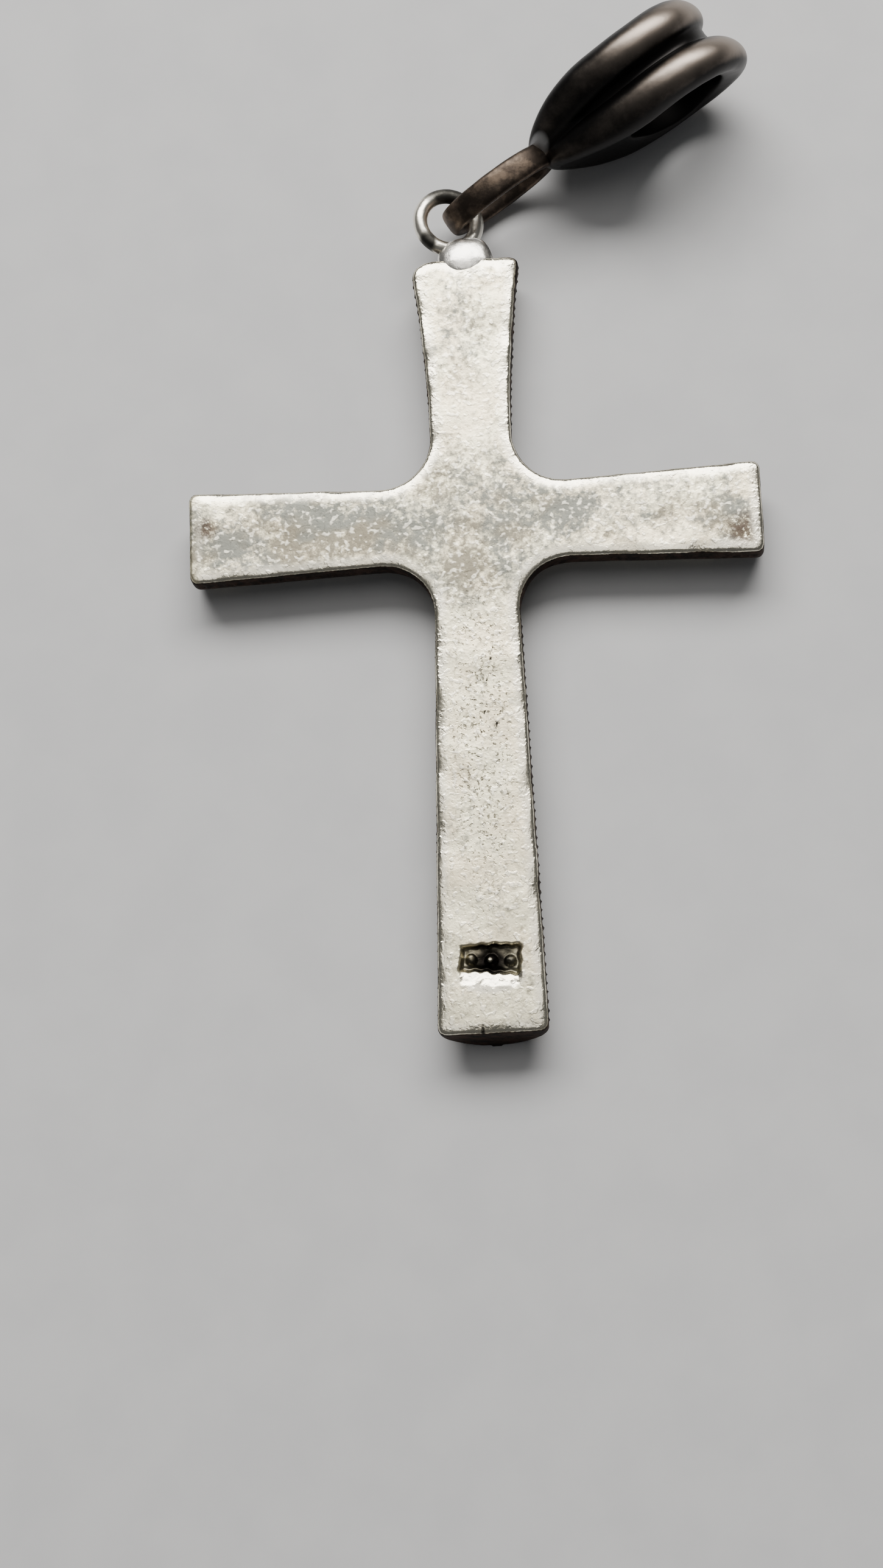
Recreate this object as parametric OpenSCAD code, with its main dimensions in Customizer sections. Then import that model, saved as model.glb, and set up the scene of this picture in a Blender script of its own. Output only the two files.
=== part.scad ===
/* [Cross outline] */
// Length of the top arm, from the crossing of the centre lines to its end
top_arm_len = 11.4; // [8:0.1:16]
// Length of the foot, from the crossing to its end
foot_len = 20.7; // [14:0.1:30]
// Length of each side arm, from the crossing to its end
side_arm_len = 11.5; // [8:0.1:16]
// Width of the top arm where it leaves the crossing
top_neck_w = 3.3; // [2.6:0.05:4]
// Width of the top arm at its flared end
top_end_w = 4.5; // [3.4:0.05:6]
// Width of the foot where it leaves the crossing
foot_neck_w = 3.4; // [2.6:0.05:4]
// Width of the foot at its flared end
foot_end_w = 4.3; // [3.4:0.05:6]
// Width of each side arm where it leaves the crossing
side_neck_w = 3.25; // [2.6:0.05:4]
// Width of each side arm at its flared end
side_end_w = 3.85; // [3.3:0.05:5]
// Radius of the four hollow inner corners
inner_corner_r = 2.1; // [1:0.05:2.6]
// How late the top arm flares: 1 is a straight taper
top_flare = 1.9; // [1:0.1:3]
// How late the foot and the side arms flare: 1 is a straight taper
long_flare = 1; // [1:0.1:3]

/* [Cross section] */
// Thickness, from the flat back to the crest of the domed front
thickness = 2.3; // [2:0.05:2.6]
// Height of the upright side wall, below the rounded back edge
wall_h = 0.45; // [0.2:0.05:0.8]
// Radius of the rounded edge between the back and the side wall
edge_r = 0.2; // [0.1:0.05:0.3]
// Share of the half width over which the front's crest is worn flat
crest_share = 0.1; // [0.05:0.01:0.2]
// Radius of the corners at the ends of the arms and the foot
end_corner_r = 0.3; // [0.15:0.05:0.6]
// Radius of the worn left corner of the top arm
worn_corner_r = 0.75; // [0.3:0.05:0.9]
// How far the front of the foot's end stands out past its back edge
foot_rake = 0.15; // [0:0.05:0.4]

/* [Stamped panel] */
// Length of the sunk panel across the foot
panel_len = 2.5; // [1.5:0.05:2.8]
// Height of the sunk panel along the foot
panel_h = 1.1; // [0.6:0.05:1.6]
// Depth of the sunk panel
panel_depth = 0.25; // [0.1:0.05:0.5]
// Distance from the foot's end to the middle of the panel
panel_from_end = 3; // [2:0.05:5]
// Slant of the panel against the foot, in degrees
panel_slant = -4; // [-10:1:10]
// Number of plain pellets that stand in the panel
pellet_count = 3; // [1:1:4]
// Diameter of each pellet
pellet_d = 0.5; // [0.3:0.05:0.6]

/* [Eye] */
// Diameter of the eye's wire
eye_wire_d = 0.6; // [0.45:0.05:0.65]
// Diameter of the eye's ring, measured to the middle of its wire
eye_ring_d = 2.36; // [2.3:0.02:2.8]
// Distance of the eye's middle to the left of the cross's centre line
eye_off = 0.6; // [0:0.05:1]
// Height of the eye's middle above the surface that the pendant lies on
eye_h = 1.8; // [1.7:0.05:2]
// Turn of the eye about the cross's long line, in degrees, left side up
eye_turn = 16; // [10:1:24]
// Distance from the end of the top arm to the middle of the wire at the eye's foot
eye_stand = 0.66; // [0.2:0.02:0.8]
// Width of the drop of solder that holds the eye
solder_w = 1.4; // [0.8:0.1:2]
// Distance of the drop's middle to the left of the cross's centre line
solder_off = 0.1; // [0:0.05:0.5]
// Thickness of the drop of solder
solder_h = 0.9; // [0.4:0.1:1.2]

/* [Bail] */
// Diameter of the bail's round opening
bore_d = 4.2; // [3.6:0.1:4.8]
// Wall of the bail, from its opening to the crest of a ridge
bail_wall = 1.25; // [1.2:0.05:1.8]
// Length of the bail's two ridges, from end to end
bail_len = 9.1; // [8.8:0.1:10.4]
// Depth of the bail from front to back
bail_h = 6; // [5.8:0.1:7.4]
// Width of one ridge at its middle and far end
ridge_w = 1.76; // [1.6:0.02:2]
// Width of one ridge at the bail's near end
near_ridge_w = 1; // [0.9:0.02:1.6]
// Distance between the crests of the ridges at the bail's far end
far_gap = 2.3; // [2:0.05:2.5]
// Distance between the crests of the ridges halfway along the bail
middle_gap = 2; // [1.8:0.05:2.5]
// Distance between the crests of the ridges at the bail's near end
near_gap = 0.6; // [0.5:0.05:1.4]
// Width of the band inside the bail, where the cord or chain bears
band_w = 3.2; // [2.6:0.1:3.4]
// How much the bail narrows from its middle towards its near end
near_point = 0.3; // [0.15:0.01:0.4]
// How far the right ridge runs ahead of the left, for each millimetre between them
ridge_skew = 0.25; // [0:0.05:0.3]
// Depth of the groove between the ridges, below their crests
groove_depth = 0.7; // [0.5:0.05:0.8]

/* [Loop] */
// Length of the loop that links the bail to the eye, outside
loop_len = 5.2; // [4.8:0.1:6]
// Height of the loop, outside
loop_h = 3.2; // [2.8:0.05:3.4]
// Width of the loop's strip
strip_w = 1.1; // [0.7:0.05:1.15]
// Thickness of the loop's strip
strip_t = 0.5; // [0.3:0.05:0.6]
// Length of the loop that is soldered into the bail's near end
loop_sink = 0.6; // [0.4:0.1:1]

/* [Lie] */
// Direction of the bail on the surface, in degrees from the right side arm
bail_heading = 31; // [20:1:45]
// Lean of the bail out of the upright, in degrees
bail_lean = 12; // [5:1:18]
// Place of the loop's end in the eye, to the right of the eye's middle
link_right = 0.15; // [0.05:0.05:0.25]
// Place of the loop's end in the eye, towards the foot
link_down = -0.1; // [-0.2:0.05:0]
// Height of the loop's end above the surface
link_h = 1.5; // [1.4:0.05:1.6]

/* [Hidden] */

silver = [0.80, 0.78, 0.74];
oxide = [0.20, 0.18, 0.17];

// Number of facets on the round solids
$fn = 64;
corner_steps = 4;
fillet_steps = 10;
flare_steps = 6;
edge_steps = 3;
dome_steps = 8;
floor_z = -thickness;

// Each arm has its length, neck width, end width, flare, right and left corner radii, and end rake
top_arm = [top_arm_len, top_neck_w, top_end_w, top_flare, end_corner_r, worn_corner_r, 0];
left_arm = [side_arm_len, side_neck_w, side_end_w, long_flare, end_corner_r, end_corner_r, 0];
foot_arm = [foot_len, foot_neck_w, foot_end_w, long_flare, end_corner_r, end_corner_r, foot_rake];
right_arm = left_arm;

function arm_len(arm) = arm[0];
function neck_half(arm) = arm[1] / 2;
function end_half(arm) = arm[2] / 2;
function turned(p, a) = [p.x * cos(a) - p.y * sin(a), p.x * sin(a) + p.y * cos(a)];

// Half the width of an arm at a distance from the crossing; the flare starts at the neck's end
function half_width(arm, start, s) =
    neck_half(arm) + (end_half(arm) - neck_half(arm))
        * pow(max(0, (s - start) / (arm_len(arm) - start)), arm[3]);

// One side of an arm as [outline point, crest point] pairs, from the neck to the end;
// the arm lies along +X, and side is 1 on its left and -1 on its right
function arm_side(arm, start, side) =
    let (r = side > 0 ? arm[5] : arm[4], last = arm_len(arm) - r)
    concat(
        [for (i = [1:flare_steps])
            let (s = start + (last - start) * i / (flare_steps + 1))
            [[s, side * half_width(arm, start, s)], [s, 0]]],
        [for (i = [0:corner_steps])
            let (a = 90 - 90 * i / corner_steps, s = last + r * cos(a))
            [[s, side * (end_half(arm) - r + r * sin(a))],
             [s + arm[6] * (1 - (arm_len(arm) - s) / r), 0]]]);

// The hollow corner between one arm and the next, which lies a quarter turn further on
function inner_corner(arm, next) =
    let (reach = neck_half(next) + inner_corner_r, climb = neck_half(arm) + inner_corner_r)
    [for (i = [0:fillet_steps])
        let (share = i / fillet_steps, a = 270 - 90 * share)
        [[reach + inner_corner_r * cos(a), climb + inner_corner_r * sin(a)],
         share < 0.5 ? [reach * (1 - 2 * share), 0] : [0, climb * (2 * share - 1)]]];

function reversed(list) = [for (i = [len(list) - 1:-1:0]) list[i]];
function arm_pairs(arm, before, after, a) =
    let (
        right_side = arm_side(arm, neck_half(before) + inner_corner_r, -1),
        left_side = reversed(arm_side(arm, neck_half(after) + inner_corner_r, 1)),
        corner = inner_corner(arm, after))
    [for (pair = concat(right_side, left_side, corner)) [turned(pair[0], a), turned(pair[1], a)]];

// The whole outline, anticlockwise from the right arm, each point with its place on the crest
pairs = concat(
    arm_pairs(right_arm, foot_arm, top_arm, 0),
    arm_pairs(top_arm, right_arm, left_arm, 90),
    arm_pairs(left_arm, top_arm, foot_arm, 180),
    arm_pairs(foot_arm, left_arm, right_arm, 270));
count = len(pairs);

function unit(v) = v / norm(v);
function inward(i) =
    let (
        along = unit(pairs[(i + 1) % count][0] - pairs[i][0])
            + unit(pairs[i][0] - pairs[(i + count - 1) % count][0]))
    unit([-along.y, along.x]);

// Rings of points from the back to the crest: the rounded edge, the side wall and the dome
function edge_ring(a) =
    [for (i = [0:count - 1])
        let (p = pairs[i][0] + inward(i) * edge_r * (1 - sin(a)))
        [p.x, p.y, -edge_r * (1 - cos(a))]];
dome_last = acos(crest_share);
function dome_ring(a) =
    [for (pair = pairs)
        let (p = pair[0] + (pair[1] - pair[0]) * (1 - cos(a)))
        [p.x, p.y, -edge_r - wall_h - (thickness - edge_r - wall_h) * sin(a) / sin(dome_last)]];
rings = concat(
    [for (k = [0:edge_steps]) edge_ring(90 * k / edge_steps)],
    [for (k = [0:dome_steps]) dome_ring(dome_last * k / dome_steps)]);

// The flat faces of the first and last ring: a fan about the middle, and a strip of quads in each arm
side_count = flare_steps + corner_steps + 1;
arm_count = count / 4;
function flat_fan(first, middle) =
    let (
        round = [for (a = [0:3], i = [0, each [2 * side_count - 1:arm_count - 1]]) a * arm_count + i],
        n = len(round))
    [for (k = [0:n - 1]) [middle, first + round[k], first + round[(k + 1) % n]]];
function flat_strips(first) =
    [for (a = [0:3], i = [0:side_count - 2])
        let (right = first + a * arm_count + i, left = first + a * arm_count + 2 * side_count - 1 - i)
        [right, right + 1, left - 1, left]];

module cross_body() {
    last = len(rings) - 1;
    middle = (last + 1) * count;
    polyhedron(
        points = concat([for (ring = rings) each ring], [[0, 0, 0], [0, 0, floor_z]]),
        faces = concat(
            [for (face = concat(flat_fan(0, middle), flat_strips(0))) reversed(face)],
            [for (k = [0:last - 1], i = [0:count - 1])
                let (j = (i + 1) % count)
                each [[k * count + i, k * count + j, (k + 1) * count + i],
                      [k * count + j, (k + 1) * count + j, (k + 1) * count + i]]],
            flat_fan(last * count, middle + 1),
            flat_strips(last * count)));
}

module panel_cut() {
    translate([0, -foot_len + panel_from_end, -panel_depth])
        rotate([0, 0, panel_slant])
            translate([-panel_len / 2, -panel_h / 2, 0])
                cube([panel_len, panel_h, panel_depth + edge_r]);
}

module pellets() {
    pitch = panel_len / (pellet_count + 0.5);
    translate([0, -foot_len + panel_from_end, -panel_depth - edge_r])
        rotate([0, 0, panel_slant])
            for (i = [0:pellet_count - 1])
                translate([(i - (pellet_count - 1) / 2) * pitch, 0, 0])
                    cylinder(d = pellet_d, h = edge_r + panel_depth * 0.7, $fn = 24);
}

eye_at = [-eye_off, top_arm_len + eye_ring_d / 2 + eye_stand, floor_z + eye_h];

module eye() {
    translate(eye_at)
        rotate([0, eye_turn, 0])
            rotate_extrude()
                translate([eye_ring_d / 2, 0])
                    circle(d = eye_wire_d, $fn = 32);
}

module solder() {
    translate([-solder_off, top_arm_len + eye_stand / 2, -solder_h / 2])
        scale([solder_w, eye_stand + eye_wire_d + 0.2, solder_h])
            sphere(d = 1, $fn = 24);
}

module cross() {
    color(silver) {
        difference() {
            cross_body();
            panel_cut();
        }
        pellets();
        eye();
        solder();
    }
}

// The bail is drawn about the middle of its opening, long side along X, with its width along Z.
// Its crests follow an oval that narrows towards the loop; t turns about the oval's middle,
// from 0 at the far end to 180 at the near end.
ellipse_a = bail_len / 2;
ellipse_b = bail_h / 2;
ellipse_off = ellipse_a - bail_wall - bore_d / 2;
function crest(t) =
    [ellipse_a * cos(t) - ellipse_off, ellipse_b * sin(t) * (1 + near_point * cos(t)), 0];
function bulge(t) = 1 - pow(abs(cos(t)), 3);

// Half the distance between the crests, and the radius of a ridge
function half_gap(t) =
    let (end_gap = cos(t) < 0 ? near_gap : far_gap)
    (end_gap + (middle_gap - end_gap) * bulge(t)) / 2;
function ridge_radius(t) =
    (cos(t) < 0 ? near_ridge_w + (ridge_w - near_ridge_w) * bulge(t) : ridge_w) / 2;

ridge_steps = 8;
bail_steps = 72;
ridge_r = ridge_w / 2;
groove_floor_w = 0.12;

// Section of the bail as [across, below the crest], from one inner edge over both ridges to the other
function bail_section(t) =
    let (
        g = half_gap(t),
        r = ridge_radius(t),
        flank_a = min(acos(max(0, 1 - groove_depth / r)), asin(min(1, (g - groove_floor_w / 2) / r))),
        ridge = [for (i = [0:ridge_steps])
            let (a = -90 + (90 + flank_a) * i / ridge_steps)
            [-g + r * sin(a), r * (1 - cos(a))]])
    concat(ridge, [for (p = reversed(ridge)) [-p.x, p.y]]);

module bail_ridges() {
    sections = [for (i = [0:bail_steps - 1])
        let (t = 360 * i / bail_steps, out = unit(crest(t)), inner = bore_d / 2 * 0.9 * out)
        concat(
            [inner - [0, 0, band_w / 2]],
            [for (p = bail_section(t)) crest(t) - p.y * out + p.x * [ridge_skew, 0, 1]],
            [inner + [0, 0, band_w / 2]])];
    n = len(sections[0]);
    polyhedron(
        points = [for (section = sections) each section],
        faces = [for (i = [0:bail_steps - 1], j = [0:n - 1])
            let (i2 = (i + 1) % bail_steps, j2 = (j + 1) % n)
            each [[i * n + j, i * n + j2, i2 * n + j],
                  [i * n + j2, i2 * n + j2, i2 * n + j]]]);
}

module oval(length, height, width) {
    scale([length, height, width])
        cylinder(d = 1, h = 1, center = true);
}

loop_mid = -ellipse_off - ellipse_a + loop_sink - loop_len / 2;

module loop() {
    translate([loop_mid, 0, 0])
        difference() {
            oval(loop_len, loop_h, strip_w);
            oval(loop_len - 2 * strip_t, loop_h - 2 * strip_t, strip_w + 1);
        }
}

// The link is the middle of the loop's far strip, which passes through the eye
link_reach = -loop_mid + (loop_len - strip_t) / 2;
link_z = floor_z + link_h;

// Distance from the opening's middle down to the lowest ridge, at a given pitch of the bail
function support(pitch) =
    let (down = [-sin(pitch), -cos(bail_lean) * cos(pitch), sin(bail_lean) * cos(pitch)])
    max([for (i = [0:bail_steps - 1])
        let (t = 360 * i / bail_steps, r = ridge_radius(t), out = unit(crest(t)))
        down * (crest(t) - r * out + half_gap(t) * [ridge_skew, 0, 1]) + r * norm([down * out, down.z])]);

// The pitch at which the bail stands on the surface with its loop at the height of the link
function settled(pitch, turns) =
    turns == 0 ? pitch
        : settled(asin((floor_z + support(pitch) - link_z) / link_reach), turns - 1);
bail_pitch = settled(0, 10);

module bail() {
    color(oxide)
        translate([eye_at.x + link_right, eye_at.y - link_down, link_z])
            rotate([0, 0, bail_heading])
                rotate([0, -bail_pitch, 0])
                    rotate([90 + bail_lean, 0, 0])
                        translate([link_reach, 0, 0]) {
                            difference() {
                                bail_ridges();
                                translate([0, 0, -bail_len / 2])
                                    cylinder(d = bore_d, h = bail_len);
                            }
                            loop();
                        }
}

cross();
bail();
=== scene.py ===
from math import acos, asin, atan, atan2, cos, exp, hypot, pi, radians, sin, sqrt

import bmesh
import bpy
from mathutils import Matrix, Vector, kdtree, noise


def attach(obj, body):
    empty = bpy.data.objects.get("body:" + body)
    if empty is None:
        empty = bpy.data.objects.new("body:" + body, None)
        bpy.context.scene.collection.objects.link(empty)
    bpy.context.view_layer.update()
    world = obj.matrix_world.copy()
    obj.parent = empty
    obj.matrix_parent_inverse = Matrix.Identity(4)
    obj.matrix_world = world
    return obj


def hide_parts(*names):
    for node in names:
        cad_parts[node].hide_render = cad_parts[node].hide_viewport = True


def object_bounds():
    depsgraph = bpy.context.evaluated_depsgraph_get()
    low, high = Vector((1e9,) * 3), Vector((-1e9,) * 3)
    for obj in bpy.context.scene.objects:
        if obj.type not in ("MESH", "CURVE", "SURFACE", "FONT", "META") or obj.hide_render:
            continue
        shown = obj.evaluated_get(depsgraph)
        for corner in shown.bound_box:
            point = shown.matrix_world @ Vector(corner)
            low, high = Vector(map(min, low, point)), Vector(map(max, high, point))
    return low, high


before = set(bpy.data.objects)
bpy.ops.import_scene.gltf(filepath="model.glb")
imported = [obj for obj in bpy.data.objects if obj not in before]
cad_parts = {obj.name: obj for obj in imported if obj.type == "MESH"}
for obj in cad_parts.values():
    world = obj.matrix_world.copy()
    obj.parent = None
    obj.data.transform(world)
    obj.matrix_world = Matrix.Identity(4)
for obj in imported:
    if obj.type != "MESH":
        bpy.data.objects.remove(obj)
cad_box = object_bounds()

# Cross body. The cross is one casting in sterling silver. Its flat back lies upwards, the arms
# flare from hollow inner corners, and the front, which lies face down, is a low dome behind a
# finely notched rim. Sizes are in millimetres until the finished mesh is scaled to metres.
MM = 0.001
THICKNESS, EDGE_R, WALL_H = 2.3, 0.1, 0.55
INNER_R, CORNER_R, WORN_R, FOOT_RAKE = 2.1, 0.3, 0.75, 0.15
ARM_LEN = {"top": 11.4, "foot": 20.7, "side": 11.5}
NECK = {"top": 1.65, "foot": 1.7, "side": 1.625}
END = {"top": 2.25, "foot": 2.15, "side": 1.925}
FLARE = {"top": 1.9, "foot": 1.0, "side": 1.0}
LONG_EDGE, EDGE_STEP, DOME_STEPS, CREST_SHARE, VOXEL = 0.3, 0.2, 12, 0.1, 0.085


def arm_at(x, y):
    """The arm a point lies on, its distance from the crossing and its offset across the arm."""
    if abs(y) > abs(x):
        return ("top" if y > 0 else "foot"), abs(y), x
    return "side", abs(x), y


def half_width(arm, s):
    """Half the width of an arm at a distance from the crossing."""
    start = INNER_R + (NECK["top"] if arm == "side" else NECK["side"])
    share = max(0, (s - start) / (ARM_LEN[arm] - start))
    return NECK[arm] + (END[arm] - NECK[arm]) * share ** FLARE[arm]


def flared(co):
    """Moves a point of the straight-armed outline out to the flared one."""
    arm, s, _ = arm_at(co.x, co.y)
    widen = half_width(arm, s) / NECK[arm]
    return Vector((co.x, co.y * widen, 0)) if arm == "side" else Vector((co.x * widen, co.y, 0))


def crest(co):
    """The point of the front's crest that lies across from a point of the outline."""
    arm, s, _ = arm_at(co.x, co.y)
    upright = NECK["top"] if co.y > 0 else NECK["foot"]
    across, along = abs(co.x) - upright, abs(co.y) - NECK["side"]
    # Round an inner corner the crest runs in along one arm to the crossing and out along the next.
    if across < INNER_R and along < INNER_R:
        lean = across - along
        reach = INNER_R + (upright if lean > 0 else NECK["side"])
        s = reach * abs(lean) / INNER_R
        arm = "side" if lean > 0 else "top"
    # The foot's end leans in, so its crest reaches past the back's edge.
    if arm == "foot":
        s += FOOT_RAKE * max(0, 1 - (ARM_LEN["foot"] - s) / END["foot"])
    if arm == "side":
        return Vector((s if co.x > 0 else -s, 0, 0))
    return Vector((0, s if co.y > 0 else -s, 0))


def next_ring(bm, loop, place):
    """Extrudes an edge loop and puts each new vertex at place(vertex)."""
    grown = bmesh.ops.extrude_edge_only(bm, edges=loop)["geom"]
    for vert in [g for g in grown if isinstance(g, bmesh.types.BMVert)]:
        vert.co = place(vert)
    return [g for g in grown if isinstance(g, bmesh.types.BMEdge)]


def uneven(co, *waves):
    """How far an uneven surface stands out at a point. Each wave is a height and its lumps to a mm."""
    return sum(height * noise.noise(co * lumps) for height, lumps in waves)


def new_piece(name, bm):
    """Puts a finished shape into the scene."""
    mesh = bpy.data.meshes.new(name)
    bm.to_mesh(mesh)
    bm.free()
    mesh.shade_smooth()
    piece = bpy.data.objects.new(name, mesh)
    bpy.context.collection.objects.link(piece)
    return piece


def to_metres(bm):
    """Scales a finished shape from millimetres to metres."""
    bmesh.ops.scale(bm, verts=bm.verts, vec=(MM, MM, MM))


def bake(piece):
    """Applies the piece's modifiers to its mesh."""
    evaluated = piece.evaluated_get(bpy.context.evaluated_depsgraph_get())
    piece.data = bpy.data.meshes.new_from_object(evaluated)
    piece.modifiers.clear()


side, top, foot = ARM_LEN["side"], ARM_LEN["top"], ARM_LEN["foot"]
side_neck, top_neck, foot_neck = NECK["side"], NECK["top"], NECK["foot"]
bm = bmesh.new()
outline = bm.verts.layers.float_vector.new("outline")
crest_at = bm.verts.layers.float_vector.new("crest")
bm.faces.new([bm.verts.new((x, y, 0)) for x, y in (
    (side, -side_neck), (side, side_neck), (top_neck, side_neck), (top_neck, top),
    (-top_neck, top), (-top_neck, side_neck), (-side, side_neck), (-side, -side_neck),
    (-foot_neck, -side_neck), (-foot_neck, -foot), (foot_neck, -foot), (foot_neck, -side_neck))])
inner = [v for v in bm.verts if hypot(v.co.x, v.co.y) < 3]
worn = [v for v in bm.verts if v.co.x < 0 and v.co.y > 10]
square = [v for v in bm.verts if v not in inner and v not in worn]
for corners, radius, segments in ((inner, INNER_R, 16), (worn, WORN_R, 8), (square, CORNER_R, 5)):
    bmesh.ops.bevel(bm, geom=corners, offset=radius, offset_type="OFFSET", affect="VERTICES",
                    segments=segments, profile=0.5, material=-1)
for edge in [e for e in bm.edges if e.calc_length() > LONG_EDGE]:
    bmesh.ops.subdivide_edges(bm, edges=[edge], cuts=int(edge.calc_length() / EDGE_STEP))
edge_points = kdtree.KDTree(len(bm.verts))
for vert in bm.verts:
    vert[crest_at] = crest(vert.co)
    vert[outline] = vert.co = flared(vert.co)
    edge_points.insert(vert.co, vert.index)
edge_points.balance()

# Each side of the dome is a quarter of an oval, which stops where the ring has shrunk to CREST_SHARE.
rim = list(bm.edges)
loop = next_ring(bm, rim, lambda v: v[outline] - Vector((0, 0, EDGE_R + WALL_H)))
last = acos(CREST_SHARE)
for step in range(1, DOME_STEPS + 1):
    turn = last * step / DOME_STEPS
    sunk = Vector((0, 0, EDGE_R + WALL_H + (THICKNESS - EDGE_R - WALL_H) * sin(turn) / sin(last)))
    loop = next_ring(bm, loop, lambda v: v[outline].lerp(v[crest_at], 1 - cos(turn)) - sunk)
bmesh.ops.contextual_create(bm, geom=loop)
bmesh.ops.recalc_face_normals(bm, faces=bm.faces)
bmesh.ops.bevel(bm, geom=rim, offset=EDGE_R, offset_type="OFFSET", affect="EDGES", segments=4, profile=0.5,
                material=-1)
shape = new_piece("cross_shape", bm)
cross_body = bpy.data.objects.new("cross_body", shape.data)
bpy.context.collection.objects.link(cross_body)
remesh = cross_body.modifiers.new("skin", "REMESH")
remesh.mode, remesh.voxel_size = "VOXEL", VOXEL
wrap = cross_body.modifiers.new("wrap", "SHRINKWRAP")
wrap.target = shape
bake(cross_body)
bpy.data.objects.remove(shape)

# The panel near the foot's end is struck into the back: a steep upper side, a rough floor with three
# plain pellets, and a lower side that rises to a lumpy burr. The back's edges are worn down a little,
# most at the top arm's right corner, and the rim is notched.
PANEL_Y, PANEL_LEN, PANEL_H, PANEL_DEPTH, SLANT = -17.7, 2.5, 1.1, 0.3, radians(-4)
PELLETS, PELLET_H = ((-0.75, 0.22), (0.03, 0.25), (0.76, 0.23)), 0.16
RAMP_LEN, RAMP_DEPTH, BURR_H = 0.62, 0.11, 0.05
NOTCH, NOTCH_Z, NOTCH_H, NOTCH_DEPTH, NOTCH_START, NOTCH_STOP = 0.36, -0.62, 0.085, 0.03, 4, 0.3
WEAR, WEAR_WIDTH, WORN_MOST = 0.2, 0.56, Vector((2, 11))


def step_up(low, high, value):
    """Smooth step from 0 at low to 1 at high."""
    t = min(1, max(0, (value - low) / (high - low)))
    return t * t * (3 - 2 * t)


def panel_sink(x, y):
    """How far the struck panel lowers the back at a point. u runs along the panel and v up it."""
    u = x * cos(SLANT) + (y - PANEL_Y) * sin(SLANT)
    v = (y - PANEL_Y) * cos(SLANT) - x * sin(SLANT)
    ragged = noise.noise(Vector((u * 2.6, 0, 1)))
    half = PANEL_LEN / 2 - 0.02 + 0.12 * noise.noise(Vector((u, v * 3, 5)))
    ends = step_up(half, half - 0.2, abs(u))
    upper = step_up(PANEL_H / 2, PANEL_H / 2 - 0.16, v + 0.14 * ragged + 0.12 * step_up(-0.2, -1.1, u))
    low = v + PANEL_H / 2 - 0.2 * ragged
    lower = step_up(-0.12, 0.12, low)
    lump = noise.noise(Vector((u * 3.5, v * 4, 9)))
    ramp = min(1, max(0, low / RAMP_LEN + 1)) * step_up(0.2, 0, low)
    burr = max(0, lump) * exp(-((low + 0.4) / 0.3) ** 2)
    sink = PANEL_DEPTH * ends * upper * lower * (1 + 0.2 * noise.noise(Vector((u * 3, v * 3, 3))))
    for place, r in PELLETS:
        away = hypot(u - place, v + 0.1) / r
        if away < 1:
            sink -= PELLET_H * sqrt(1 - away * away) * upper
    return max(sink, 0) + ends * (RAMP_DEPTH * ramp - BURR_H * burr)


bm = bmesh.new()
bm.from_mesh(cross_body.data)
near_panel = [e for e in bm.edges if all(
    v.co.z > -0.1 and abs(v.co.x) < 1.6 and abs(v.co.y - PANEL_Y + 0.2) < 1.3 for v in e.verts)]
bmesh.ops.subdivide_edges(bm, edges=near_panel, cuts=1, use_grid_fill=True)
for _ in range(2):
    bmesh.ops.smooth_vert(bm, verts=bm.verts, factor=0.5, use_axis_x=True, use_axis_y=True, use_axis_z=True)
bm.normal_update()
border = bm.verts.layers.float.new("border")
for vert in bm.verts:
    co, out = vert.co.copy(), vert.normal.copy()
    arm, s, across = arm_at(co.x, co.y)
    vert[border] = edge_points.find((co.x, co.y, 0))[2]
    push = uneven(co, (0.022, 0.8), (0.006, 2.6))
    on_rim = abs(across) > half_width(arm, s) - 0.25
    if on_rim and NOTCH_START < s < ARM_LEN[arm] - NOTCH_STOP:
        tooth = max(0, cos(2 * pi * s / NOTCH + 1.5 * noise.noise(Vector((s, across, 2)))))
        push += exp(-((co.z - NOTCH_Z) / 0.14) ** 2) * (NOTCH_H * tooth - NOTCH_DEPTH)
    vert.co = co + out * push
    near_corner = exp(-(co.xy - WORN_MOST).length_squared)
    worn_width = WEAR_WIDTH + 0.25 * noise.noise(co * 0.9) + 0.3 * near_corner
    vert.co.z -= WEAR * max(0, worn_width - vert[border]) ** 2 * step_up(-0.5, -0.1, co.z)
    if co.z > -0.1 and out.z > 0.5:
        vert.co.z -= panel_sink(co.x, co.y)
    vert.co.z = max(vert.co.z, -THICKNESS)
to_metres(bm)
bm.to_mesh(cross_body.data)
bm.free()
cross_body.data.shade_smooth()


class Wire:
    """One output of a shader node. Arithmetic on it adds Math nodes to the same material."""

    def __init__(self, paint, socket):
        self.paint, self.socket = paint, socket

    def maths(self, operation, *others):
        values = dict(enumerate((self,) + others))
        return self.paint.node("ShaderNodeMath", {"operation": operation}, values)

    def __add__(self, other):
        return self.maths("ADD", other)

    def __sub__(self, other):
        return self.maths("SUBTRACT", other)

    def __rsub__(self, other):
        return self.paint.node("ShaderNodeMath", {"operation": "SUBTRACT"}, {0: other, 1: self})

    def __mul__(self, other):
        return self.maths("MULTIPLY", other)

    def __truediv__(self, other):
        return self.maths("DIVIDE", other)

    def __pow__(self, other):
        return self.maths("POWER", other)

    __radd__, __rmul__ = __add__, __mul__

    def rise(self, low, high):
        """Smooth step from 0 at low to 1 at high."""
        ends = {"Value": self, "From Min": low, "From Max": high}
        return self.paint.node("ShaderNodeMapRange", {"interpolation_type": "SMOOTHSTEP"}, ends, "Result")


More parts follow.
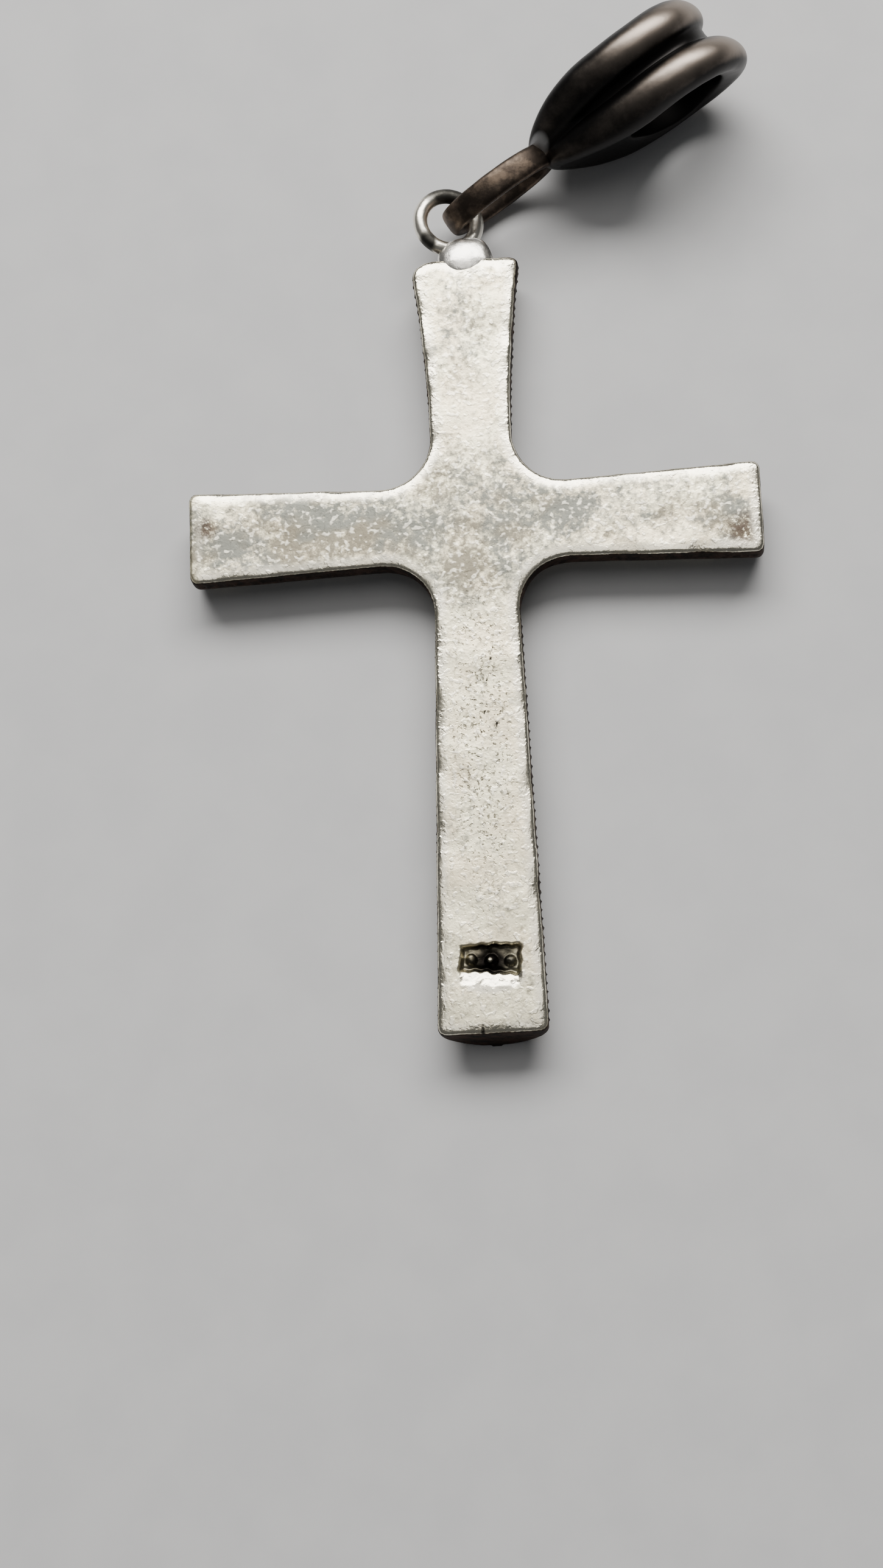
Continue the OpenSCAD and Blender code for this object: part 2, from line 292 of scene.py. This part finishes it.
class Paint:
    """A material and its nodes."""

    def __init__(self, name):
        self.material = bpy.data.materials.new(name)
        self.material.use_nodes = True
        self.nodes = self.material.node_tree.nodes
        self.links = self.material.node_tree.links
        self.shader = self.nodes["Principled BSDF"]
        where = self.node("ShaderNodeTexCoord", {}, {}, "Object")
        self.mm = self.node("ShaderNodeVectorMath", {"operation": "SCALE"}, {0: where, "Scale": 1 / MM})
        parts = self.node("ShaderNodeSeparateXYZ", {}, {0: self.mm}, None)
        self.x, self.y, self.z = (Wire(self, parts.outputs[i]) for i in range(3))

    def node(self, kind, settings, inputs, output=0):
        """Adds a node: its settings first, then the values or links of its inputs."""
        node = self.nodes.new(kind)
        for key, value in settings.items():
            setattr(node, key, value)
        self.feed(node, inputs)
        return node if output is None else Wire(self, node.outputs[output])

    def feed(self, node, inputs):
        """Links each input that is a Wire, and sets each other one."""
        for key, value in inputs.items():
            if isinstance(value, Wire):
                self.links.new(value.socket, node.inputs[key])
            else:
                node.inputs[key].default_value = value

    def noise(self, scale, detail=2.0, rough=0.5, where=None, seed=0.0):
        """Noise about 0.5 whose lumps are 1/scale millimetres wide."""
        where = where or self.mm
        moved = self.node("ShaderNodeVectorMath", {"operation": "ADD"}, {0: where, 1: (seed,) * 3})
        return self.node("ShaderNodeTexNoise", {}, {
            "Vector": moved, "Scale": scale, "Detail": detail, "Roughness": rough})

    def stretched(self, vector, turn=0.0):
        """The place in millimetres, stretched and then turned about the upright."""
        return self.node("ShaderNodeMapping", {"vector_type": "POINT"}, {
            "Vector": self.mm, "Rotation": (0, 0, turn), "Scale": vector})

    def spot(self, x, y, rx, ry):
        """1 at a point of the back, falling smoothly to 0 at an ellipse about it."""
        far = ((self.x - x) / rx) ** 2 + ((self.y - y) / ry) ** 2
        return far.rise(1, 0)

    def mix(self, share, a, b):
        """Colour a, turning to colour b as share goes from 0 to 1."""
        a, b = (c if isinstance(c, Wire) else (*c, 1) for c in (a, b))
        return self.node("ShaderNodeMix", {"data_type": "RGBA"}, {0: share, 6: a, 7: b}, 2)

    def bump(self, height, depth, normal=None):
        """A normal that shows height, 0 to 1, as a relief of depth millimetres."""
        inputs = {"Height": height, "Distance": depth * MM, "Strength": 1.0}
        if normal:
            inputs["Normal"] = normal
        return self.node("ShaderNodeBump", {}, inputs)


# The back is satin silver, mottled cream and grey: tarnish has settled in the grain of the casting,
# thickest on the left arm and about the crossing. Dark pits and flecks lie mostly along the foot.
# The worn edges are cleaner silver, painted whiter still as highlights; the top arm's end and the panel's
# burr are painted white as highlights. The side walls are brown tarnish painted darker as the shade under
# the edges, the panel's floor is painted near black as the shade in the recess, and a dark mark at the
# foot's end is the painted shade of a small notch.
BRIGHT, WARM, GREY, BLUE = (0.98, 0.92, 0.68), (0.90, 0.77, 0.55), (0.22, 0.20, 0.155), (0.18, 0.19, 0.175)
BROWN, DARK, WHITE = (0.06, 0.038, 0.03), (0.022, 0.019, 0.017), (0.98, 0.94, 0.80)
RECESS_SHADE = (0.006, 0.005, 0.005)
silver = Paint("satin_silver")
grain = silver.noise(3.0, 2, 0.6)
fine = silver.noise(7.5, 2, 0.6, seed=7)
cloud = silver.noise(0.8, 2, 0.5, seed=3)
border = silver.node("ShaderNodeAttribute", {"attribute_name": "border"}, {}, "Fac")
on_back, behind = silver.z.rise(-0.3, -0.1), silver.z.rise(-0.8, -0.6)
PATCHES = (  # where tarnish lies: x, y, half width, half height, weight
    (-7.2, -0.2, 6.4, 2.6, 1.3), (0.2, -0.3, 5.0, 4.4, 1.15), (-0.2, 8.2, 1.8, 3.4, 0.4),
    (0.2, -9, 1.3, 7.5, 0.05), (6.5, 0.4, 5.5, 1.9, 0.8), (0, -18.6, 2.6, 1.4, 0.2),
    (-9.9, -0.4, 0.9, 0.7, 1), (-11.4, 0, 0.7, 2.0, 0.8), (-6.6, 0.4, 1.5, 1.1, 0.7),
    (-4.2, 0.1, 1.2, 0.9, 0.6), (-0.7, -1.9, 1.2, 0.9, 0.5), (4.4, 0.5, 1.0, 0.7, 0.5),
    (10.4, -0.7, 1.9, 1.5, 0.8))
where = sum(silver.spot(*place) * weight for *place, weight in PATCHES)
mottle = grain * 0.6 + fine * 0.4
tarnish = mottle + (cloud - 0.5) * 0.4 + where * 0.2 + border.rise(0.1, 0.6) * 0.05 - 0.18
tarnish = tarnish.rise(0.32, 0.68)
base = silver.mix(silver.noise(0.6, 2, seed=11).rise(0.4, 0.65) * 0.6, BRIGHT, WARM)
grime = silver.mix(silver.noise(0.55, 2, seed=17).rise(0.42, 0.58), GREY, BLUE)
colour = silver.mix(tarnish * 0.95, base, grime)
bead = silver.noise(4.2, 1, 0.5, seed=51).rise(0.54, 0.70) * on_back
colour = silver.mix(bead * 0.55, colour, WHITE)
stain = (silver.spot(11.0, -1.0, 1.5, 1.1) + silver.spot(-10.8, 0.4, 0.7, 0.6)) * fine.rise(0.3, 0.5)
colour = silver.mix(stain * 0.85, colour, BROWN)
streak = silver.noise(1.0, 2, 0.5, where=silver.stretched((8, 3.4, 8), radians(-22)), seed=2)
middle = silver.spot(0, -9, 1.6, 8) * 0.9 + 0.25
fleck = streak.rise(0.58, 0.67) * silver.noise(1.1, 2, seed=23).rise(0.4, 0.56) * middle
pit = silver.noise(6.0, 2, 0.5, seed=31).rise(0.57, 0.69) * middle
# A dark mark at the foot's end is the painted shade of a small notch.
notch_shade = silver.spot(-0.4, -20.65, 0.1, 0.45) * behind
colour = silver.mix((fleck * 0.75 + pit * 0.65) * 0.85 * on_back, colour, DARK)
# The side walls are brown tarnish, painted darker still as the shade under the cross's edges.
side_wall = (silver.z + (fine - 0.5) * 0.12).rise(-0.085, -0.13) * border.rise(0.7, 0.3)
wall_tarnish_and_shade = silver.noise(2.2, 3, 0.6, seed=41).rise(0.35, 0.65)
colour = silver.mix(side_wall, colour, silver.mix(wall_tarnish_and_shade, BROWN, DARK))
# The panel's floor is painted near black as the shade in the recess.
in_panel = silver.spot(0, PANEL_Y - 0.15, 1.75, 1.5) * behind
sunk = silver.z.rise(-0.06, -0.155) * in_panel
colour = silver.mix(sunk, colour, RECESS_SHADE)
# The burr's slope, which faces the window, is painted white as its highlight.
burr = silver.y.rise(PANEL_Y - 0.5, PANEL_Y - 0.65) * silver.spot(0, PANEL_Y - 0.85, 1.6, 0.75)
# The worn edges are cleaner silver, painted whiter still as highlights, except at the left arm's end.
rubbed_and_sheen = (0.3 + silver.noise(1.3, 2, 0.5, seed=61)) * silver.x.rise(-11.4, -10.9)
edge_wear_and_highlight = border.rise(0.7, 0.15) * silver.z.rise(-0.16, -0.06) * rubbed_and_sheen
# The top arm's end is painted white as a highlight.
arm_end_highlight = silver.noise(2.4, 2, 0.6, seed=71).rise(0.3, 0.6) * silver.spot(0.6, 11.0, 1.8, 0.8) * on_back
shine = (edge_wear_and_highlight + burr * on_back * 1.5 + arm_end_highlight * 0.8).rise(0, 1)
colour = silver.mix(shine * 0.85, colour, WHITE)
colour = silver.mix(notch_shade * 0.9, colour, DARK)
relief = silver.bump(grain, 0.011)
relief = silver.bump(fine, 0.006, relief)
relief = silver.bump(bead - pit * 2 - fleck, 0.005, relief)
silver.feed(silver.shader, {
    "Base Color": colour, "Metallic": 1.0, "Normal": relief,
    "Roughness": 0.36 + tarnish * 0.14 - bead * 0.06 - shine * 0.18 + side_wall * 0.39})
cross_body.data.materials.append(silver.material)
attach(cross_body, "root")
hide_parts("cross")

# Eye. A ring of round silver wire is soldered to the end of the top arm, tilted with its left side up.
# Its ends meet in the solder.
EYE_AT, EYE_R, WIRE_R, EYE_TURN = Vector((-0.6, 13.24, -0.5)), 1.18, 0.3, radians(16)


def upright_circle(bm, points, radius, away):
    """The points of a circle that stands at a distance from the z axis and is to be spun about it."""
    upright = Matrix.Translation((away, 0, 0)) @ Matrix.Rotation(pi / 2, 4, "X")
    return bmesh.ops.create_circle(bm, segments=points, radius=radius, matrix=upright)["verts"]


def spin_round(bm, section, steps):
    """Spins a section all the way round the z axis."""
    bmesh.ops.spin(bm, geom=section + list(bm.edges), cent=(0, 0, 0), axis=(0, 0, 1), angle=2 * pi,
                   steps=steps, use_merge=True)


def close_up(bm):
    """Merges doubled points and turns the faces outwards."""
    bmesh.ops.remove_doubles(bm, verts=bm.verts, dist=0.0005)
    bmesh.ops.recalc_face_normals(bm, faces=bm.faces)
    bm.normal_update()


bm = bmesh.new()
spin_round(bm, upright_circle(bm, points=28, radius=WIRE_R, away=EYE_R), steps=96)
close_up(bm)
for vert in bm.verts:
    vert.co += vert.normal * uneven(vert.co, (0.012, 1.4), (0.006, 5))
bmesh.ops.rotate(bm, verts=bm.verts, cent=(0, 0, 0), matrix=Matrix.Rotation(EYE_TURN, 3, "Y"))
bmesh.ops.translate(bm, verts=bm.verts, vec=EYE_AT)
to_metres(bm)
eye = new_piece("eye", bm)

wire_paint = Paint("wire_silver_painted_shade")
lumps = wire_paint.noise(1.6, 3, 0.6)
# The wire's top arc and a spot at its lower left are painted near black as shade and dark reflection.
dark_side = wire_paint.spot(-0.3, 14.5, 1.7, 1.1) + wire_paint.spot(-1.45, 12.3, 0.5, 0.6)
painted_shade = (lumps * 0.7 + dark_side * 0.9).rise(0.4, 1.2)
colour = wire_paint.mix(painted_shade * 0.97, (0.93, 0.90, 0.81), (0.03, 0.029, 0.027))
wire_paint.feed(wire_paint.shader, {
    "Base Color": colour, "Metallic": 1.0, "Roughness": 0.30 + painted_shade * 0.2,
    "Normal": wire_paint.bump(wire_paint.noise(5, 3, 0.6), 0.01)})
eye.data.materials.append(wire_paint.material)
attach(eye, "root")
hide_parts("cross")

# Solder. A bright drop of silver solder holds the eye. It has run onto the end of the top arm and set
# there as a smooth lump.
SOLDER_AT, SOLDER_SIZE = Vector((0.05, 11.4, -0.37)), Vector((2.3, 2.1, 0.9))
bm = bmesh.new()
bmesh.ops.create_icosphere(bm, subdivisions=5, radius=0.5)
for vert in bm.verts:
    vert.co *= 1 + uneven(vert.co, (0.16, 1.8), (0.01, 9))
    x, y, z = vert.co
    vert.co = SOLDER_AT + Vector((x * SOLDER_SIZE.x, y * SOLDER_SIZE.y, z * SOLDER_SIZE.z))
to_metres(bm)
solder = new_piece("solder_drop", bm)
bright = Paint("bright_solder")
lump = bright.noise(2.2, 3, 0.55)
bright.feed(bright.shader, {
    "Base Color": bright.mix(lump.rise(0.55, 0.75) * 0.4, (0.97, 0.95, 0.90), (0.45, 0.43, 0.40)),
    "Metallic": 1.0, "Roughness": 0.22 + lump * 0.1, "Normal": bright.bump(lump, 0.02)})
solder.data.materials.append(bright.material)
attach(solder, "root")
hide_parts("cross")

# Bail. Two oval ridges of blackened silver lie side by side about one round opening. They meet at the
# near end and part towards the far end. One section is turned about the opening and then shaped.
BORE_R, BAIL_WALL, BAIL_LEN, BAIL_H, NARROWING = 2.1, 1.25, 9.1, 6.0, 0.3
RIDGE_R, NEAR_RIDGE_R, FAR_GAP, MIDDLE_GAP, NEAR_GAP = 0.88, 0.5, 2.3, 2.0, 0.6
BAND_W, BAND_EDGE, SKEW, GROOVE, GROOVE_FLOOR = 3.2, 0.06, 0.25, 0.7, 0.12
LONG, SHORT = BAIL_LEN / 2, BAIL_H / 2
BORE_SHIFT = LONG - BAIL_WALL - BORE_R
FLANK_AIM, FLANK_STOP = 0.9 * BORE_R, 0.97
RIDGE_POINTS, FLANK_POINTS, BAND_POINTS = 20, 4, 6
HEADING, LEAN, PITCH = radians(31), radians(12), radians(10.1482)
LINK, LINK_REACH = Vector((-0.45, 13.34, -0.8)), 10.1
# The bail is stood on edge and leaned, pitched so that it rests on the sheet, and turned about the link.
placed = (Matrix.Translation(LINK) @ Matrix.Rotation(HEADING, 4, "Z") @ Matrix.Rotation(-PITCH, 4, "Y")
          @ Matrix.Rotation(pi / 2 + LEAN, 4, "X") @ Matrix.Translation((LINK_REACH, 0, 0)))


def bail_point(t, place, side):
    """A point of the bail and how far its black is worn off, which grows towards the far end as a painted
    highlight. t turns about the oval; place runs from the groove over a ridge and its flank to the middle
    of the band inside."""
    crest = Vector((LONG * cos(t) - BORE_SHIFT, SHORT * sin(t) * (1 + NARROWING * cos(t)), 0))
    out = crest.normalized()
    bulge = 1 - abs(cos(t)) ** 3
    end_gap = NEAR_GAP if cos(t) < 0 else FAR_GAP
    gap = (end_gap + (MIDDLE_GAP - end_gap) * bulge) / 2
    ridge = NEAR_RIDGE_R + (RIDGE_R - NEAR_RIDGE_R) * bulge if cos(t) < 0 else RIDGE_R
    flank = min(acos(max(-1, 1 - GROOVE / ridge)), asin(min(1, (gap - GROOVE_FLOOR / 2) / ridge)))
    if place < RIDGE_POINTS:
        turn = -flank + (flank + pi / 2) * place / (RIDGE_POINTS - 1)
        across, depth, skew = gap + ridge * sin(turn), ridge * (1 - cos(turn)), 1
        # The crest's black is worn through; the wear grows towards the far end, where it paints the ridges'
        # highlight.
        rub_and_sheen = max(0, cos(turn * 1.3)) * (0.45 + 0.55 * step_up(-0.5, 0.7, cos(t)))
    else:
        wide, deep, inside = gap + ridge, ridge, crest.length - BORE_R
        run = (crest.length - ridge - BORE_R) / (crest.length - ridge - FLANK_AIM)
        edge = wide + (BAND_W / 2 - wide) * run
        place -= RIDGE_POINTS - 1
        if place <= FLANK_POINTS:
            share = min(FLANK_STOP, place / FLANK_POINTS)
            across, depth = wide + (edge - wide) * share, deep + (inside - deep) * share
            skew, rub_and_sheen = 1 - run * share, 0
        else:
            share = (place - FLANK_POINTS - 1) / (BAND_POINTS - 1)
            across, depth = (edge - BAND_EDGE) * (1 - share), inside
            skew, rub_and_sheen = (1 - run) * (1 - share), 0
    across *= side
    return crest - out * depth + Vector((SKEW * skew * across, 0, across)), rub_and_sheen


# The section's points are numbered from the groove over one ridge to the opening, and back over the other.
HALF_COUNT = RIDGE_POINTS + FLANK_POINTS + BAND_POINTS
bm = bmesh.new()
ring_place = bm.verts.layers.int.new("ring_place")
rubbed_and_sheen = bm.verts.layers.float.new("rubbed_and_sheen")
section = upright_circle(bm, points=2 * HALF_COUNT - 1, radius=0.5, away=BORE_R)
for i, vert in enumerate(section):
    vert[ring_place] = i
spin_round(bm, section, steps=160)
for vert in bm.verts:
    place, side = vert[ring_place], 1
    if place >= HALF_COUNT:
        place, side = 2 * HALF_COUNT - 1 - place, -1
    vert.co, vert[rubbed_and_sheen] = bail_point(atan2(vert.co.y, vert.co.x), place, side)
close_up(bm)
for vert in bm.verts:
    vert.co += vert.normal * uneven(vert.co, (0.02, 0.7), (0.006, 2.5))
bmesh.ops.transform(bm, matrix=placed, verts=bm.verts)
to_metres(bm)
bail = new_piece("bail_ridges", bm)
soften = bail.modifiers.new("soften", "SUBSURF")
soften.levels = soften.render_levels = 1

black = Paint("oxidised_silver")
rub_and_sheen = black.node("ShaderNodeAttribute", {"attribute_name": "rubbed_and_sheen"}, {}, "Fac")
patch = black.noise(0.9, 3, 0.5)
scuff = black.noise(4.0, 3, 0.6, seed=5)
# Where the black is worn, brown-grey silver shows; towards the far end this lighter colour is also a
# painted highlight.
worn = (rub_and_sheen + (patch - 0.5) * 0.3 + (scuff - 0.5) * 0.15).rise(0.3, 1.0)
colour = black.mix(worn, (0.022, 0.021, 0.021), (0.34, 0.29, 0.25))
# A light grey spot at the near end is a painted highlight.
near_end_highlight = black.spot(3.3, 15.7, 0.5, 0.45)
colour = black.mix(near_end_highlight * 0.8, colour, (0.75, 0.76, 0.78))
black.feed(black.shader, {
    "Base Color": colour, "Metallic": 1.0, "Roughness": 0.34 + patch * 0.08 + near_end_highlight * 0.25,
    "Normal": black.bump(scuff, 0.004)})
bail.data.materials.append(black.material)
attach(bail, "root")
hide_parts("bail")

# Loop. A strip of blackened silver is bent into an oval loop, passes through the eye and is soldered
# into the near end of the ridges. Its outer face is slightly domed.
LOOP_LEN, LOOP_H, STRIP_W, STRIP_T, LOOP_SINK, SPIN_R = 5.2, 3.2, 1.1, 0.5, 0.6, 1
loop_mid = -BORE_SHIFT - LONG + LOOP_SINK - LOOP_LEN / 2
# Each point keeps how deep in the strip it lies, from 0 at its outer face to 1 inside.
bm = bmesh.new()
deep_place = bm.verts.layers.float.new("deep_place")
strip = upright_circle(bm, points=32, radius=0.3, away=SPIN_R)
for vert in strip:
    a = atan2(vert.co.z, vert.co.x - SPIN_R)
    wide = abs(sin(a)) ** 0.5 * (1 if sin(a) > 0 else -1)
    outer = abs(cos(a)) ** 0.7 * (1 if cos(a) > 0 else -1)
    vert[deep_place] = 0.5 - 0.5 * outer * (1 - 0.12 * wide * wide)
    vert.co.z = wide * STRIP_W / 2
spin_round(bm, strip, steps=96)
for vert in bm.verts:
    t, deep = atan2(vert.co.y, vert.co.x), STRIP_T * vert[deep_place]
    vert.co.x = loop_mid + (LOOP_LEN / 2 - deep) * cos(t)
    vert.co.y = (LOOP_H / 2 - deep) * sin(t)
close_up(bm)
for vert in bm.verts:
    vert.co += vert.normal * uneven(vert.co, (0.012, 1.3))
bmesh.ops.transform(bm, matrix=placed, verts=bm.verts)
to_metres(bm)
bail_loop = new_piece("bail_loop", bm)
strip_paint = Paint("browned_silver")
patch = strip_paint.noise(1.3, 4, 0.6, seed=9)
colour = strip_paint.mix(patch.rise(0.4, 0.65), (0.06, 0.048, 0.04), (0.17, 0.13, 0.10))
strip_paint.feed(strip_paint.shader, {
    "Base Color": colour, "Metallic": 1.0, "Roughness": 0.38 + patch * 0.12,
    "Normal": strip_paint.bump(strip_paint.noise(4, 3, 0.6), 0.008)})
bail_loop.data.materials.append(strip_paint.material)
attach(bail_loop, "root")
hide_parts("bail")

# Stage. The pendant lies on a plain pale sheet with a faint mottle, whose top is at the lowest point of
# the solids.
bm = bmesh.new()
bmesh.ops.create_grid(bm, x_segments=1, y_segments=1, size=1.5)
bmesh.ops.translate(bm, verts=bm.verts, vec=(0, 0, cad_box[0].z))
floor = new_piece("floor", bm)
paper = Paint("pale_sheet")
wash = paper.noise(0.35, 3, 0.55).rise(0.3, 0.7) * 0.7 + paper.noise(6, 2, 0.5, seed=4) * 0.3
paper.feed(paper.shader, {
    "Base Color": paper.mix(wash, (0.66, 0.67, 0.695), (0.71, 0.72, 0.74)), "Roughness": 0.7})
floor.data.materials.append(paper.material)

# Camera. It looks down from the foot's side, a little from the right. The picture's height and the
# lens's focal length are in pixels of the photograph.
PICTURE_H, FOCAL, AIM = 2576, 5000, Vector((-0.001658, -0.01075, 0))
camera = bpy.data.objects.new("camera", bpy.data.cameras.new("camera"))
bpy.context.collection.objects.link(camera)
bpy.context.scene.camera = camera
camera.data.sensor_fit = "VERTICAL"
camera.data.angle_y = 2 * atan(PICTURE_H / 2 / FOCAL)
camera.data.clip_start = 0.001
tilt, sideways, roll, away = radians(15), radians(16), radians(1.95), 0.1192
toward = Vector((sin(tilt) * sin(sideways), -sin(tilt) * cos(sideways), cos(tilt)))
ahead = Vector((sin(roll), cos(roll), 0))
up = (ahead - toward * ahead.dot(toward)).normalized()
facing = Matrix((up.cross(toward), up, toward)).transposed().to_4x4()
camera.matrix_world = Matrix.Translation(AIM + toward * away) @ facing

# Light. A wide soft window stands beyond the top arm and casts the shadows. A faint light overhead
# brightens the flat back, and a dim room fills in the rest.
WARM_WHITE, LAMP_AWAY, ROOM_LIGHT = (1.0, 0.97, 0.92), 0.35, 0.09
world = bpy.data.worlds.new("studio")
bpy.context.scene.world = world
world.use_nodes = True
background = world.node_tree.nodes["Background"].inputs
background["Color"].default_value = (1, 1, 1, 1)
background["Strength"].default_value = ROOM_LIGHT


def soft_light(name, wide, high, energy, elevation):
    """A warm oval light beyond the top arm, which faces the crossing."""
    lamp = bpy.data.objects.new(name, bpy.data.lights.new(name, "AREA"))
    bpy.context.collection.objects.link(lamp)
    lamp.data.shape, lamp.data.size, lamp.data.size_y, lamp.data.energy = "ELLIPSE", wide, high, energy
    lamp.data.color = WARM_WHITE
    place = Vector((0, cos(elevation), sin(elevation))) * LAMP_AWAY
    lamp.matrix_world = Matrix.Translation(place) @ place.to_track_quat("Z", "Y").to_matrix().to_4x4()


soft_light("key", wide=0.44, high=0.2, energy=1.85, elevation=radians(51))
soft_light("overhead", wide=0.22, high=0.22, energy=0.16, elevation=radians(81))
